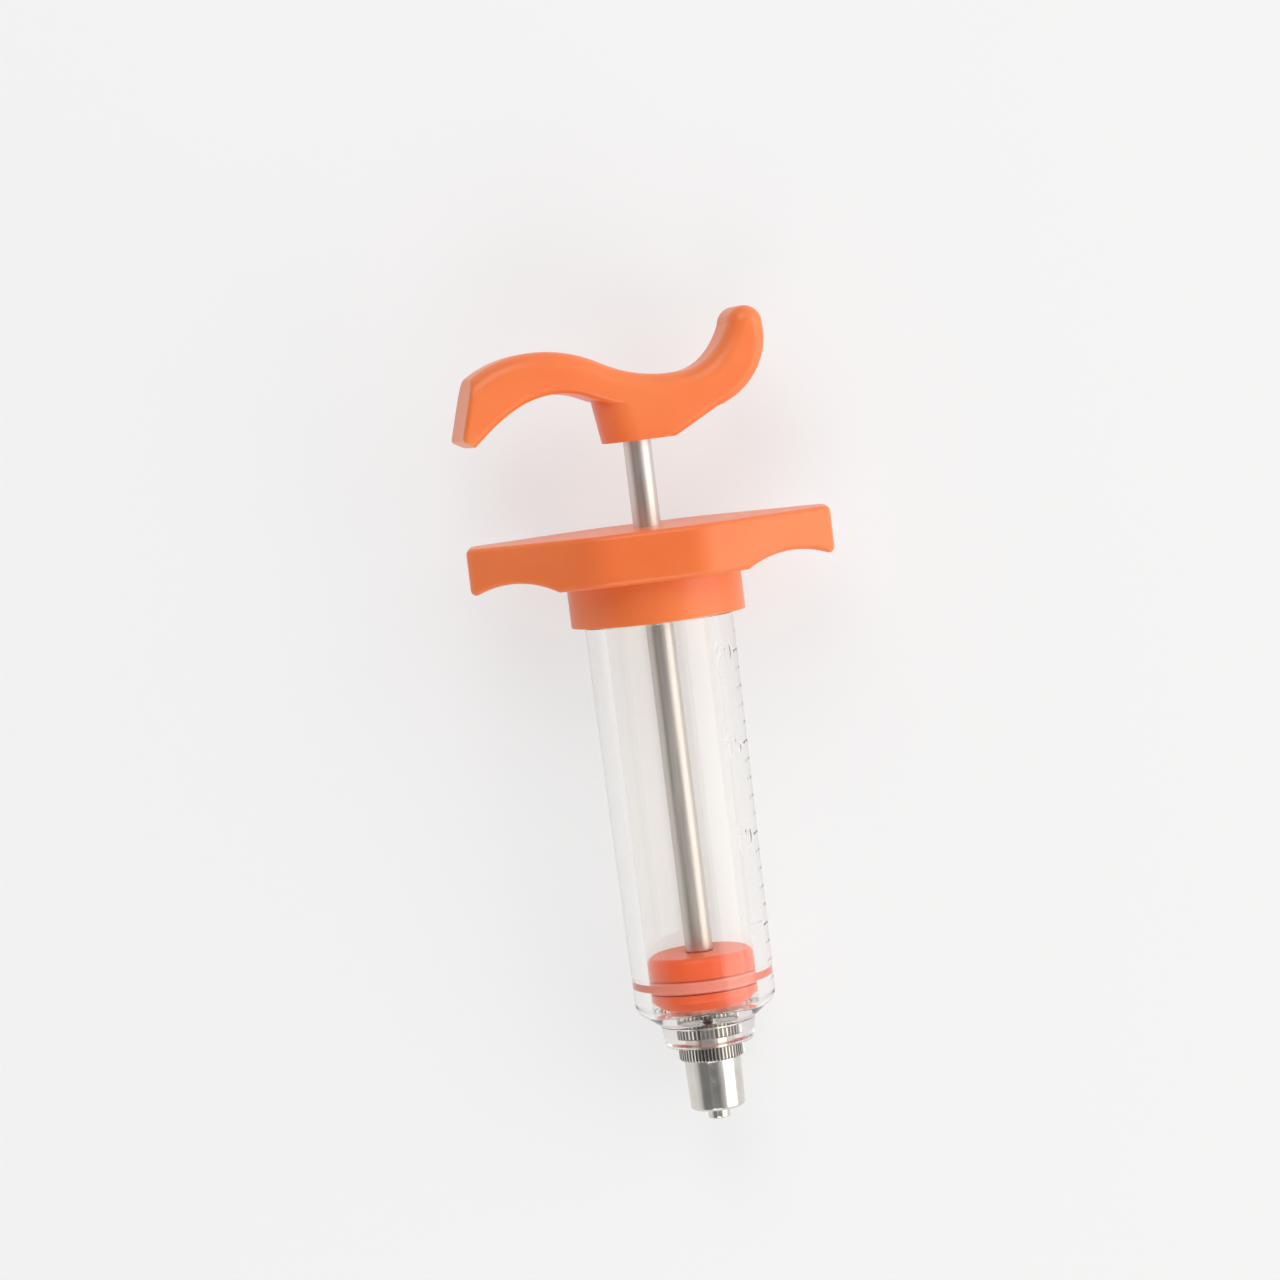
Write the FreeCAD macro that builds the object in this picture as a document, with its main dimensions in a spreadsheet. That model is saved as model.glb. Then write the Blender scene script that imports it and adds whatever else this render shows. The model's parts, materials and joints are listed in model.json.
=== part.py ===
"""A reusable 20 ml syringe with a metal luer lock, lying as it comes to rest.

Every piece is drawn about the syringe's own axis first. X runs along that axis from the bottom of
the bore towards the handle, Y runs out along the finger wings and Z through their thickness.
A place along the axis is called a station: station 0 is the bottom of the bore, and what lies
beyond it, towards the luer tip, has a negative station. One placement then lays all pieces down.
"""

import FreeCAD, Part

import math
import os
from types import SimpleNamespace

import Sketcher

from FreeCAD import Placement, Rotation, Vector

FULL_TURN = 360.0
HALF_TURN = 180.0
MM3_PER_ML = 1000.0
MATCH = 1e-4
CUT_PAST = 1.5
SCALE_PARTS = 20
PARTS_PER_LONG = 5
TURN_UP = Vector(-1, 0, 0)
AXIS_Z = Vector(0, 0, 1)

SIZES = [
    # Barrel: bore, wall, shoulder and neck
    ("bore_radius", 9.8, "bore of the barrel"),
    ("scale_end", 66.287, "station of the last scale mark, at 20 ml of this bore"),
    ("bore_lead", 0.6, "bevel at the mouth of the bore"),
    ("barrel_foot_radius", 12.75, "outside of the barrel at its foot"),
    ("barrel_head_radius", 13.4, "outside of the barrel under the cap, after the mould's draft"),
    ("thread_radius", 13.1, "crest of the thread that the cap screws on"),
    ("thread_clearance", 3.713, "last scale mark to the foot of that thread"),
    ("thread_length", 13.3, "foot of the thread to the barrel's rim"),
    ("shoulder_top", -0.13, "station where the wall turns in to the shoulder"),
    ("shoulder_round", 2.0, "rounding of that turn"),
    ("neck_top", -3.3, "station where the shoulder meets the neck"),
    ("neck_top_radius", 8.6, "neck at the shoulder"),
    ("neck_foot", -7.4, "station of the neck's end face"),
    ("neck_foot_radius", 8.0, "neck at its end"),
    ("neck_round", 0.8, "rounding of the neck's end"),
    # Scale on the barrel
    ("mark_lift", 20.0, "turn from the right wing up to a short mark's end, in degrees"),
    ("mark_turn", 30.0, "turn that a short mark covers, in degrees"),
    ("long_extra", 18.0, "further turn up to a long mark's end, in degrees"),
    ("mark_width", 0.42, "width of a scale mark"),
    ("mark_rise", 0.18, "height of a scale mark over the wall"),
    ("mark_root", 0.3, "depth of a mark's foot in the wall"),
    # Metal fitting: hub inside the neck, shank and male cone
    ("channel_radius", 1.1, "fluid channel through the fitting"),
    ("hub_top", -1.0, "station of the hub's top face"),
    ("hub_foot", -5.75, "station of the hub's lower face"),
    ("hub_radius", 3.9, "hub moulded into the neck"),
    ("shank_radius", 3.0, "plain shank between hub and cone"),
    ("tip_end", -21.25, "station of the cone's end"),
    ("tip_radius", 1.975, "cone at its end"),
    ("cone_taper", 0.06, "growth of the cone's diameter for each mm of length"),
    ("tip_round", 0.3, "rounding of the cone's end"),
    # Lock collar round the cone
    ("knurl_foot", -10.05, "station where the knurled ring ends"),
    ("knurl_radius", 5.92, "knurled ring"),
    ("knurl_bevel", 0.25, "bevel of the ring's two edges"),
    ("knurl_teeth", 55, "teeth of the ring's straight knurl"),
    ("knurl_depth", 0.25, "depth of the knurl"),
    ("knurl_share", 0.6, "width of a groove of the knurl, as a share of its pitch"),
    ("collar_floor", -12.3, "station of the collar's inner floor"),
    ("collar_end", -19.25, "station of the collar's mouth"),
    ("collar_top_radius", 5.15, "collar below the knurled ring"),
    ("collar_end_radius", 4.95, "collar at its mouth"),
    ("collar_bore_radius", 4.0, "root of the lock's inner thread"),
    ("collar_bevel", 0.35, "bevel of the collar's mouth"),
    # Piston and its ring
    ("piston_foot", 0.15, "station of the piston's lower face, pushed right in"),
    ("piston_height", 9.5, "height of the piston"),
    ("piston_play", 0.125, "gap between piston and bore"),
    ("piston_bevel", 1.6, "bevel of the piston's lower edge"),
    ("piston_round", 1.2, "rounding of the piston's upper edge"),
    ("ring_height", 4.25, "ring's middle above the piston's lower face"),
    ("ring_section", 1.2, "radius of the ring's own section"),
    ("ring_play", 0.03, "gap between ring and bore, all round"),
    ("groove_play", 0.15, "room beside the ring in its groove"),
    ("groove_gap", 0.08, "gap between the ring and the groove's floor"),
    # Plunger rod
    ("rod_radius", 2.5, "rod"),
    ("rod_end_radius", 2.0, "threaded end in the piston"),
    ("rod_end_length", 7.0, "depth of that end in the piston"),
    ("rod_top", 111.5, "station of the rod's end inside the handle"),
    # Cap with finger wings
    ("cap_head", 3.5, "barrel's rim to the cap's upper face"),
    ("wing_height", 9.15, "cap's upper face to the wings' lower corners"),
    ("wing_reach", 32.7, "axis to the end of a wing"),
    ("wing_end_depth", 5.5, "half the depth of a wing at its end"),
    ("cap_depth", 18.5, "axis to the flats on the cap's front and back"),
    ("cap_flat", 9.5, "half the width of those flats, before rounding"),
    ("cap_flat_round", 10.0, "rounding between flat and wing"),
    ("wing_end_round", 2.5, "upright edges at a wing's end"),
    ("arch_head", 6.93, "cap's upper face to the finger arch's highest point"),
    ("arch_radius", 15.6, "finger arch under a wing"),
    ("arch_reach", 24.8, "axis to the middle of the finger arch"),
    ("cap_edge_round", 1.0, "rounding of the cap's edges"),
    ("skirt_radius", 15.75, "outside of the cap's skirt"),
    ("skirt_gap", 0.3, "gap between the skirt's edge and the barrel's step"),
    ("thread_play", 0.15, "gap between the skirt and the barrel's thread"),
    ("rim_gap", 0.1, "gap between the barrel's rim and the cap"),
    ("guide_radius", 6.0, "outside of the rod's guide inside the cap"),
    ("guide_play", 0.08, "gap between the rod and its guide"),
    ("stop_gap", 0.35, "gap left between piston and guide, fully drawn"),
    ("overdraw", 0.6628, "travel past the last mark"),
    # Handle: an S-shaped arm on a flared hub
    ("handle_roll", 13.0, "turn of the handle about the axis, in degrees"),
    ("crest", 116.15, "station of the arm's middle line at its crest"),
    ("crest_reach", 16.3, "axis to the crest"),
    ("crest_bend", 19.5, "radius of the middle line over the crest"),
    ("trough", 109.9, "station of the arm's middle line at its trough"),
    ("trough_reach", 9.4, "axis to the trough"),
    ("horn_bend", 12.1, "radius of the middle line up to the raised end"),
    ("horn_turn", 84.0, "turn of the middle line from the trough to the raised end, in degrees"),
    ("facet_turn", 53.1, "turn of the middle line from the crest to the low end's facet, in degrees"),
    ("facet_crop", 6.9, "further turn of the arm that the facet crops, in degrees"),
    ("arm_depth", 12.3, "depth of the arm"),
    ("palm_round", 3.2, "rounding of the arm's edges on the side of the palm"),
    ("under_round", 1.3, "rounding of the arm's lower edges, and of the web's"),
    ("horn_round", 2.9, "rounding of the arm's edges at its raised end"),
    ("arm_low_height", 6.8, "height of the arm at its low end"),
    ("arm_crest_height", 7.8, "height of the arm at its crest"),
    ("arm_waist_height", 6.6, "height of the arm where it starts to rise to the crest"),
    ("arm_trough_height", 7.6, "height of the arm at its trough"),
    ("horn_height", 6.5, "height of the arm at its raised end"),
    ("facet_lean", 16.0, "lean of the facet, in degrees"),
    ("facet_round", 0.9, "rounding of the facet's edges"),
    ("handle_foot", 102.4, "station of the handle's hub face"),
    ("handle_hub_radius", 6.15, "hub at its face"),
    ("hub_head_reach", 7.9, "axis to the hub's flared side, inside the arm"),
    ("flare_round", 5.5, "rounding of the hub's flared side"),
    ("web_turn", 30.0, "turn from the trough to where the web meets the raised arm, in degrees"),
]


class Size:
    """A number and the sheet formula that gives it, so that one value draws and drives."""

    def __init__(self, number, formula):
        self.number = number
        self.formula = formula

    def __add__(self, other):
        other = as_size(other)
        return Size(self.number + other.number, f"({self.formula} + {other.formula})")

    def __sub__(self, other):
        other = as_size(other)
        return Size(self.number - other.number, f"({self.formula} - {other.formula})")

    def __mul__(self, other):
        other = as_size(other)
        return Size(self.number * other.number, f"({self.formula} * {other.formula})")

    def __truediv__(self, other):
        other = as_size(other)
        return Size(self.number / other.number, f"({self.formula} / {other.formula})")

    def __neg__(self):
        return Size(-self.number, f"(-1 * {self.formula})")


def as_size(value):
    """A plain number counts as a size of its own."""
    if isinstance(value, Size):
        return value
    return Size(float(value), repr(float(value)))


def cosine(angle):
    """Cosine of a size in degrees."""
    return Size(math.cos(math.radians(angle.number)), f"cos({angle.formula} * 1deg)")


def root(square):
    """Square root of a size."""
    return Size(math.sqrt(square.number), f"sqrt({square.formula})")


def sine(angle):
    """Sine of a size in degrees."""
    return Size(math.sin(math.radians(angle.number)), f"sin({angle.formula} * 1deg)")


def make_sheet(doc):
    """Write the driving sizes to a spreadsheet and give them back by name.

    The stations from the thread to the cap's upper face follow from the scale's end.
    """
    sheet = doc.addObject("Spreadsheet::Sheet", "Sizes")
    size = SimpleNamespace()
    for row, (name, value, meaning) in enumerate(SIZES, start=1):
        sheet.set(f"A{row}", meaning)
        sheet.set(f"B{row}", str(value))
        sheet.setAlias(f"B{row}", name)
        setattr(size, name, Size(value, f"Sizes.{name}"))
    doc.recompute()
    size.thread_foot = size.scale_end + size.thread_clearance
    size.barrel_rim = size.thread_foot + size.thread_length
    size.cap_top = size.barrel_rim + size.cap_head
    size.wing_foot = size.cap_top - size.wing_height
    size.arch_peak = size.cap_top - size.arch_head
    return size


# Sketches

def new_sketch(body, name, role, offset=None):
    """A sketch on one of the body's origin planes, moved off it along the plane's normal."""
    sketch = body.newObject("Sketcher::SketchObject", name)
    plane = [item for item in body.Origin.OriginFeatures if item.Role == role][0]
    sketch.AttachmentSupport = [(plane, "")]
    sketch.MapMode = "FlatFace"
    if offset is not None:
        sketch.AttachmentOffset = Placement(Vector(0, 0, offset.number), Rotation())
        sketch.setExpression(".AttachmentOffset.Base.z", offset.formula)
    return sketch


def bind(sketch, kind, first, point, size):
    """Hold one coordinate of a point, measured from the sketch's origin, at a size."""
    constraint = Sketcher.Constraint(kind, -1, 1, first, point, size.number)
    index = sketch.addConstraint(constraint)
    sketch.setExpression(f"Constraints[{index}]", size.formula)


def bind_radius(sketch, curve, size):
    """Hold the radius of an arc or a circle at a size."""
    index = sketch.addConstraint(Sketcher.Constraint("Radius", curve, size.number))
    sketch.setExpression(f"Constraints[{index}]", size.formula)


def draw_polygon(sketch, corners):
    """Draw a closed polygon whose corners are pairs of sizes."""
    corners = [(as_size(x), as_size(y)) for x, y in corners]
    points = [Vector(x.number, y.number, 0) for x, y in corners]
    count = len(points)
    sides = []
    for index in range(count):
        line = Part.LineSegment(points[index], points[(index + 1) % count])
        sides.append(sketch.addGeometry(line, False))
    for index in range(count):
        joined = Sketcher.Constraint("Coincident", sides[index], 2, sides[(index + 1) % count], 1)
        sketch.addConstraint(joined)
    for side, (x, y) in zip(sides, corners):
        bind(sketch, "DistanceX", side, 1, x)
        bind(sketch, "DistanceY", side, 1, y)


def draw_circle(sketch, x, y, radius):
    """Draw a circle from sizes."""
    x = as_size(x)
    y = as_size(y)
    centre = Vector(x.number, y.number, 0)
    curve = sketch.addGeometry(Part.Circle(centre, AXIS_Z, radius.number), False)
    bind(sketch, "DistanceX", curve, 3, x)
    bind(sketch, "DistanceY", curve, 3, y)
    bind_radius(sketch, curve, radius)


# Features

def revolve(body, name, sketch, axis, angle=None):
    """Turn a sketch round one of its own axes, fully or through an angle."""
    feature = body.newObject("PartDesign::Revolution", name)
    feature.Profile = sketch
    feature.ReferenceAxis = (sketch, [axis])
    if angle is None:
        feature.Angle = FULL_TURN
    else:
        feature.Angle = angle.number
        feature.setExpression("Angle", angle.formula)
    return feature


def through(depth):
    """Length of a cut that goes right through a depth and a little past it."""
    return depth * CUT_PAST


def extrude(body, kind, name, sketch, length, both_ways=False, backwards=False):
    """Pad or pocket a sketch over a length that comes from a size."""
    feature = body.newObject(f"PartDesign::{kind}", name)
    feature.Profile = sketch
    feature.Length = length.number
    feature.setExpression("Length", length.formula)
    if both_ways:
        feature.SideType = "Symmetric"
    feature.Reversed = backwards
    return feature


def dress(body, kind, name, base, edges, size):
    """Fillet or chamfer the named edges of the last feature."""
    feature = body.newObject(f"PartDesign::{kind}", name)
    feature.Base = (base, edges)
    measure = "Radius" if kind == "Fillet" else "Size"
    setattr(feature, measure, size.number)
    feature.setExpression(measure, size.formula)
    return feature


def find_edges(feature, wanted):
    """Names of the feature's edges that a test picks out."""
    feature.Document.recompute()
    edges = enumerate(feature.Shape.Edges, start=1)
    return [f"Edge{index}" for index, edge in edges if wanted(edge)]


def is_rim(edge, station, radius):
    """Is this edge the circle round the axis at a station, of a radius?"""
    curve = edge.Curve
    if not isinstance(curve, Part.Circle):
        return False
    centred = math.hypot(curve.Center.y, curve.Center.z) < MATCH
    placed = abs(curve.Center.x - station.number) < MATCH
    return centred and placed and abs(curve.Radius - radius.number) < MATCH


def new_body(doc, label):
    """An empty body whose label is the piece's name."""
    body = doc.addObject("PartDesign::Body", label)
    body.Label = label
    return body


def turn_profile(doc, label, corners):
    """A body turned round the syringe's axis from corners of station and radius."""
    body = new_body(doc, label)
    sketch = new_sketch(body, f"{label}_profile", "XY_Plane")
    draw_polygon(sketch, corners)
    turned = revolve(body, f"{label}_turned", sketch, "H_Axis")
    return body, turned


# Pieces

def make_barrel(doc, size):
    """Clear barrel: drafted wall, sloping shoulder, and a neck moulded round the fitting's hub."""
    corners = [
        (size.barrel_rim, size.bore_radius),
        (size.barrel_rim, size.thread_radius),
        (size.thread_foot, size.thread_radius),
        (size.thread_foot, size.barrel_head_radius),
        (size.shoulder_top, size.barrel_foot_radius),
        (size.neck_top, size.neck_top_radius),
        (size.neck_foot, size.neck_foot_radius),
        (size.neck_foot, size.shank_radius),
        (size.hub_foot, size.shank_radius),
        (size.hub_foot, size.hub_radius),
        (size.hub_top, size.hub_radius),
        (size.hub_top, size.channel_radius),
        (0.0, size.channel_radius),
        (0.0, size.bore_radius),
    ]
    body, turned = turn_profile(doc, "barrel", corners)
    turn_in = find_edges(turned, lambda e: is_rim(e, size.shoulder_top, size.barrel_foot_radius))
    shoulder = dress(body, "Fillet", "shoulder_round", turned, turn_in, size.shoulder_round)
    end = find_edges(shoulder, lambda e: is_rim(e, size.neck_foot, size.neck_foot_radius))
    neck = dress(body, "Fillet", "neck_round", shoulder, end, size.neck_round)
    mouth = find_edges(neck, lambda e: is_rim(e, size.barrel_rim, size.bore_radius))
    dress(body, "Chamfer", "bore_lead", neck, mouth, size.bore_lead)
    add_scale(body, size)
    return body


def add_scale(body, size):
    """Raised marks of the scale, one for each ml, every fifth one longer.

    A long mark's extra length runs into the short mark at the same station.
    """
    growth = size.barrel_head_radius - size.barrel_foot_radius
    draft = growth / (size.thread_foot - size.shoulder_top)
    half = size.mark_width / 2
    short = range(1, SCALE_PARTS + 1)
    long = range(PARTS_PER_LONG, SCALE_PARTS + 1, PARTS_PER_LONG)
    kinds = [
        ("short_marks", short, size.mark_lift, size.mark_turn),
        ("long_marks", long, size.mark_lift + size.long_extra, size.long_extra + size.mark_turn / 2),
    ]
    for name, places, lift, turn in kinds:
        outline = new_sketch(body, f"{name}_outline", "XY_Plane")
        outline.AttachmentOffset = Placement(Vector(), Rotation(TURN_UP, lift.number))
        outline.setExpression(".AttachmentOffset.Rotation.Angle", lift.formula)
        for place in places:
            station = size.scale_end * place / SCALE_PARTS
            wall = size.barrel_foot_radius + (station - size.shoulder_top) * draft
            foot = wall - size.mark_root
            crest = wall + size.mark_rise
            corners = [
                (station - half, foot),
                (station + half, foot),
                (station + half, crest),
                (station - half, crest),
            ]
            draw_polygon(outline, corners)
        revolve(body, name, outline, "H_Axis", turn)


def make_luer_cone(doc, size):
    """Metal fitting: hub and shank in the neck, then the tapered male cone."""
    root = size.tip_radius + (size.collar_floor - size.tip_end) * size.cone_taper / 2
    corners = [
        (size.hub_top, size.channel_radius),
        (size.hub_top, size.hub_radius),
        (size.hub_foot, size.hub_radius),
        (size.hub_foot, size.shank_radius),
        (size.collar_floor, size.shank_radius),
        (size.collar_floor, root),
        (size.tip_end, size.tip_radius),
        (size.tip_end, size.channel_radius),
    ]
    body, turned = turn_profile(doc, "luer_cone", corners)
    end = find_edges(turned, lambda e: is_rim(e, size.tip_end, size.tip_radius))
    dress(body, "Fillet", "tip_round", turned, end, size.tip_round)
    return body


def make_lock_collar(doc, size):
    """Metal collar: ring for the knurl, and the sleeve that the lock's thread is cut in."""
    corners = [
        (size.neck_foot, size.shank_radius),
        (size.neck_foot, size.knurl_radius),
        (size.knurl_foot, size.knurl_radius),
        (size.knurl_foot, size.collar_top_radius),
        (size.collar_end, size.collar_end_radius),
        (size.collar_end, size.collar_bore_radius),
        (size.collar_floor, size.collar_bore_radius),
        (size.collar_floor, size.shank_radius),
    ]
    body, turned = turn_profile(doc, "lock_collar", corners)

    def ring_edge(edge):
        top = is_rim(edge, size.neck_foot, size.knurl_radius)
        return top or is_rim(edge, size.knurl_foot, size.knurl_radius)

    ring = dress(body, "Chamfer", "knurl_bevel", turned, find_edges(turned, ring_edge), size.knurl_bevel)

    def mouth_edge(edge):
        inner = is_rim(edge, size.collar_end, size.collar_bore_radius)
        return inner or is_rim(edge, size.collar_end, size.collar_end_radius)

    dress(body, "Chamfer", "collar_bevel", ring, find_edges(ring, mouth_edge), size.collar_bevel)
    add_knurl(body, size)
    return body


def add_knurl(body, size):
    """Straight knurl of the ring: one V-groove along the axis, repeated all round.

    The V is drawn to twice its depth, so it is twice as wide there as at the ring's surface.
    """
    pitch = size.knurl_radius * math.pi * 2 / size.knurl_teeth
    width = pitch * size.knurl_share
    root = size.knurl_radius - size.knurl_depth
    above = size.knurl_radius + size.knurl_depth
    outline = new_sketch(body, "knurl_outline", "YZ_Plane", size.knurl_foot)
    draw_polygon(outline, [(0.0, root), (width, above), (-width, above)])
    length = size.neck_foot - size.knurl_foot
    groove = extrude(body, "Pocket", "knurl_groove", outline, length, backwards=True)
    knurl = body.newObject("PartDesign::PolarPattern", "knurl")
    knurl.Originals = [groove]
    knurl.Axis = (outline, ["N_Axis"])
    knurl.Angle = FULL_TURN
    knurl.Occurrences = int(size.knurl_teeth.number)
    knurl.setExpression("Occurrences", size.knurl_teeth.formula)
    body.Tip = knurl


def piston_sizes(size):
    """Places on the piston that its ring and the rod share."""
    radius = size.bore_radius - size.piston_play
    top = size.piston_foot + size.piston_height
    ring_station = size.piston_foot + size.ring_height
    ring_radius = size.bore_radius - size.ring_play - size.ring_section
    return radius, top, ring_station, ring_radius


def make_piston(doc, size):
    """Piston: groove for the ring, bevelled foot, rounded head and a hole for the rod's end."""
    radius, top, ring_station, ring_radius = piston_sizes(size)
    groove_radius = ring_radius - size.ring_section - size.groove_gap
    groove_half = size.ring_section + size.groove_play
    hole_end = top - size.rod_end_length
    corners = [
        (size.piston_foot, 0.0),
        (size.piston_foot, radius - size.piston_bevel),
        (size.piston_foot + size.piston_bevel, radius),
        (ring_station - groove_half, radius),
        (ring_station - groove_half, groove_radius),
        (ring_station + groove_half, groove_radius),
        (ring_station + groove_half, radius),
        (top, radius),
        (top, size.rod_end_radius),
        (hole_end, size.rod_end_radius),
        (hole_end, 0.0),
    ]
    body, turned = turn_profile(doc, "piston", corners)
    head = find_edges(turned, lambda e: is_rim(e, top, radius))
    dress(body, "Fillet", "piston_round", turned, head, size.piston_round)
    return body


def make_piston_ring(doc, size):
    """Silicone ring that seals the piston in the bore."""
    ring_station, ring_radius = piston_sizes(size)[2:]
    body = new_body(doc, "piston_ring")
    sketch = new_sketch(body, "ring_section", "XY_Plane")
    draw_circle(sketch, ring_station, ring_radius, size.ring_section)
    revolve(body, "ring_turned", sketch, "H_Axis")
    return body


def make_plunger_rod(doc, size):
    """Round steel rod, turned down where it screws into the piston."""
    top = piston_sizes(size)[1]
    rod_end = top - size.rod_end_length
    corners = [
        (rod_end, 0.0),
        (rod_end, size.rod_end_radius),
        (top, size.rod_end_radius),
        (top, size.rod_radius),
        (size.rod_top, size.rod_radius),
        (size.rod_top, 0.0),
    ]
    return turn_profile(doc, "plunger_rod", corners)[0]


def make_cap(doc, size):
    """Cap: winged plate with finger arches, threaded skirt, and the rod's guide inside."""
    body = new_body(doc, "cap")
    plan = new_sketch(body, "wing_plan", "YZ_Plane", size.wing_foot)
    right = [
        (size.wing_reach, -size.wing_end_depth),
        (size.wing_reach, size.wing_end_depth),
        (size.cap_flat, size.cap_depth),
    ]
    left = [
        (-size.cap_flat, size.cap_depth),
        (-size.wing_reach, size.wing_end_depth),
        (-size.wing_reach, -size.wing_end_depth),
        (-size.cap_flat, -size.cap_depth),
    ]
    draw_polygon(plan, right + left + [(size.cap_flat, -size.cap_depth)])
    plate = extrude(body, "Pad", "wing_plate", plan, size.cap_top - size.wing_foot)

    def upright_at(edge, reach, depth):
        if edge.Length < MATCH or not isinstance(edge.Curve, Part.Line):
            return False
        middle = edge.CenterOfMass
        along = abs(edge.tangentAt(edge.FirstParameter).x) > 1 - MATCH
        placed = abs(abs(middle.y) - reach.number) < MATCH
        return along and placed and abs(abs(middle.z) - depth.number) < MATCH

    flats = find_edges(plate, lambda e: upright_at(e, size.cap_flat, size.cap_depth))
    flank = dress(body, "Fillet", "flat_round", plate, flats, size.cap_flat_round)
    ends = find_edges(flank, lambda e: upright_at(e, size.wing_reach, size.wing_end_depth))
    tips = dress(body, "Fillet", "wing_end_round", flank, ends, size.wing_end_round)

    arches = new_sketch(body, "finger_arches", "XY_Plane")
    arch_station = size.arch_peak - size.arch_radius
    for side in (1, -1):
        draw_circle(arches, arch_station, size.arch_reach * side, size.arch_radius)
    both_depths = size.cap_depth + size.cap_depth
    arched = extrude(body, "Pocket", "arched", arches, through(both_depths), both_ways=True)

    def outer_edge(edge):
        box = edge.BoundBox
        on_top = box.XMin > size.cap_top.number - MATCH
        return on_top or box.XMax < size.arch_peak.number + MATCH

    rims = find_edges(arched, outer_edge)
    soft = dress(body, "Fillet", "cap_edge_round", arched, rims, size.cap_edge_round)

    thread_bore = size.thread_radius + size.thread_play
    skirt_foot = size.thread_foot + size.skirt_gap
    cavity_top = size.barrel_rim + size.rim_gap
    skirt = new_sketch(body, "skirt_outline", "YZ_Plane", skirt_foot)
    draw_circle(skirt, 0.0, 0.0, size.skirt_radius)
    skirted = extrude(body, "Pad", "skirt", skirt, cavity_top - skirt_foot)
    bore = new_sketch(body, "bore_outline", "YZ_Plane", skirt_foot)
    draw_circle(bore, 0.0, 0.0, thread_bore)
    extrude(body, "Pocket", "bore", bore, cavity_top - skirt_foot, backwards=True)

    guide_foot = piston_sizes(size)[1] + size.scale_end + size.overdraw + size.stop_gap
    guide = new_sketch(body, "guide_outline", "YZ_Plane", guide_foot)
    draw_circle(guide, 0.0, 0.0, size.guide_radius)
    extrude(body, "Pad", "guide", guide, size.cap_top - guide_foot)
    hole = new_sketch(body, "rod_hole_outline", "YZ_Plane", guide_foot)
    draw_circle(hole, 0.0, 0.0, size.rod_radius + size.guide_play)
    extrude(body, "Pocket", "rod_hole", hole, size.cap_top - guide_foot, backwards=True)
    return body


def draw_bar_section(sketch, height, depth, left_round, right_round):
    """Draw a bar's section, its corners rounded by one radius on each side."""
    x = height / 2
    y = depth / 2
    corners = [(-x, -y), (x, -y), (x, y), (-x, y)]
    draw_rounded_chain(sketch, corners, [left_round, right_round, right_round, left_round])


def draw_half_section(sketch, height, depth, round_off):
    """Draw the outer half of a bar's section, closed along its depth."""
    x = height / 2
    y = depth / 2
    corners = [(as_size(0.0), -y), (x, -y), (x, y), (as_size(0.0), y)]
    draw_rounded_chain(sketch, corners, [None, round_off, round_off, None])


def direction(first, second):
    """Unit step between two corners of an outline that runs only along X and Y."""
    dx = second[0].number - first[0].number
    dy = second[1].number - first[1].number
    length = math.hypot(dx, dy)
    return round(dx / length), round(dy / length)


def draw_rounded_chain(sketch, corners, radii):
    """Draw straight sides between the corners, and a quarter arc at each corner with a radius."""
    count = len(corners)
    ends = []
    for index, (cx, cy) in enumerate(corners):
        radius = radii[index] or as_size(0.0)
        into = direction(corners[index - 1], corners[index])
        out = direction(corners[index], corners[(index + 1) % count])
        start = (cx - radius * into[0], cy - radius * into[1])
        stop = (cx + radius * out[0], cy + radius * out[1])
        ends.append((start, stop))
    chain = []
    for index in range(count):
        start, stop = ends[index]
        if radii[index] is not None:
            chain.append(draw_quarter(sketch, start, stop, radii[index]))
        next_start = ends[(index + 1) % count][0]
        first = Vector(stop[0].number, stop[1].number, 0)
        second = Vector(next_start[0].number, next_start[1].number, 0)
        line = sketch.addGeometry(Part.LineSegment(first, second), False)
        bind(sketch, "DistanceX", line, 1, stop[0])
        bind(sketch, "DistanceY", line, 1, stop[1])
        chain.append(line)
    for index, curve in enumerate(chain):
        following = chain[(index + 1) % len(chain)]
        sketch.addConstraint(Sketcher.Constraint("Coincident", curve, 2, following, 1))


def draw_quarter(sketch, start, stop, radius):
    """Draw the quarter arc that turns left from one point to another."""
    first = Vector(start[0].number, start[1].number, 0)
    last = Vector(stop[0].number, stop[1].number, 0)
    chord = last - first
    middle = (first + last) / 2
    normal = Vector(-chord.y, chord.x, 0)
    centre = middle + normal / 2
    start_angle = math.atan2(first.y - centre.y, first.x - centre.x)
    circle = Part.Circle(centre, AXIS_Z, radius.number)
    arc = Part.ArcOfCircle(circle, start_angle, start_angle + math.pi / 2)
    curve = sketch.addGeometry(arc, False)
    bind(sketch, "DistanceX", curve, 1, start[0])
    bind(sketch, "DistanceY", curve, 1, start[1])
    bind_radius(sketch, curve, radius)
    return curve


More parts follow.
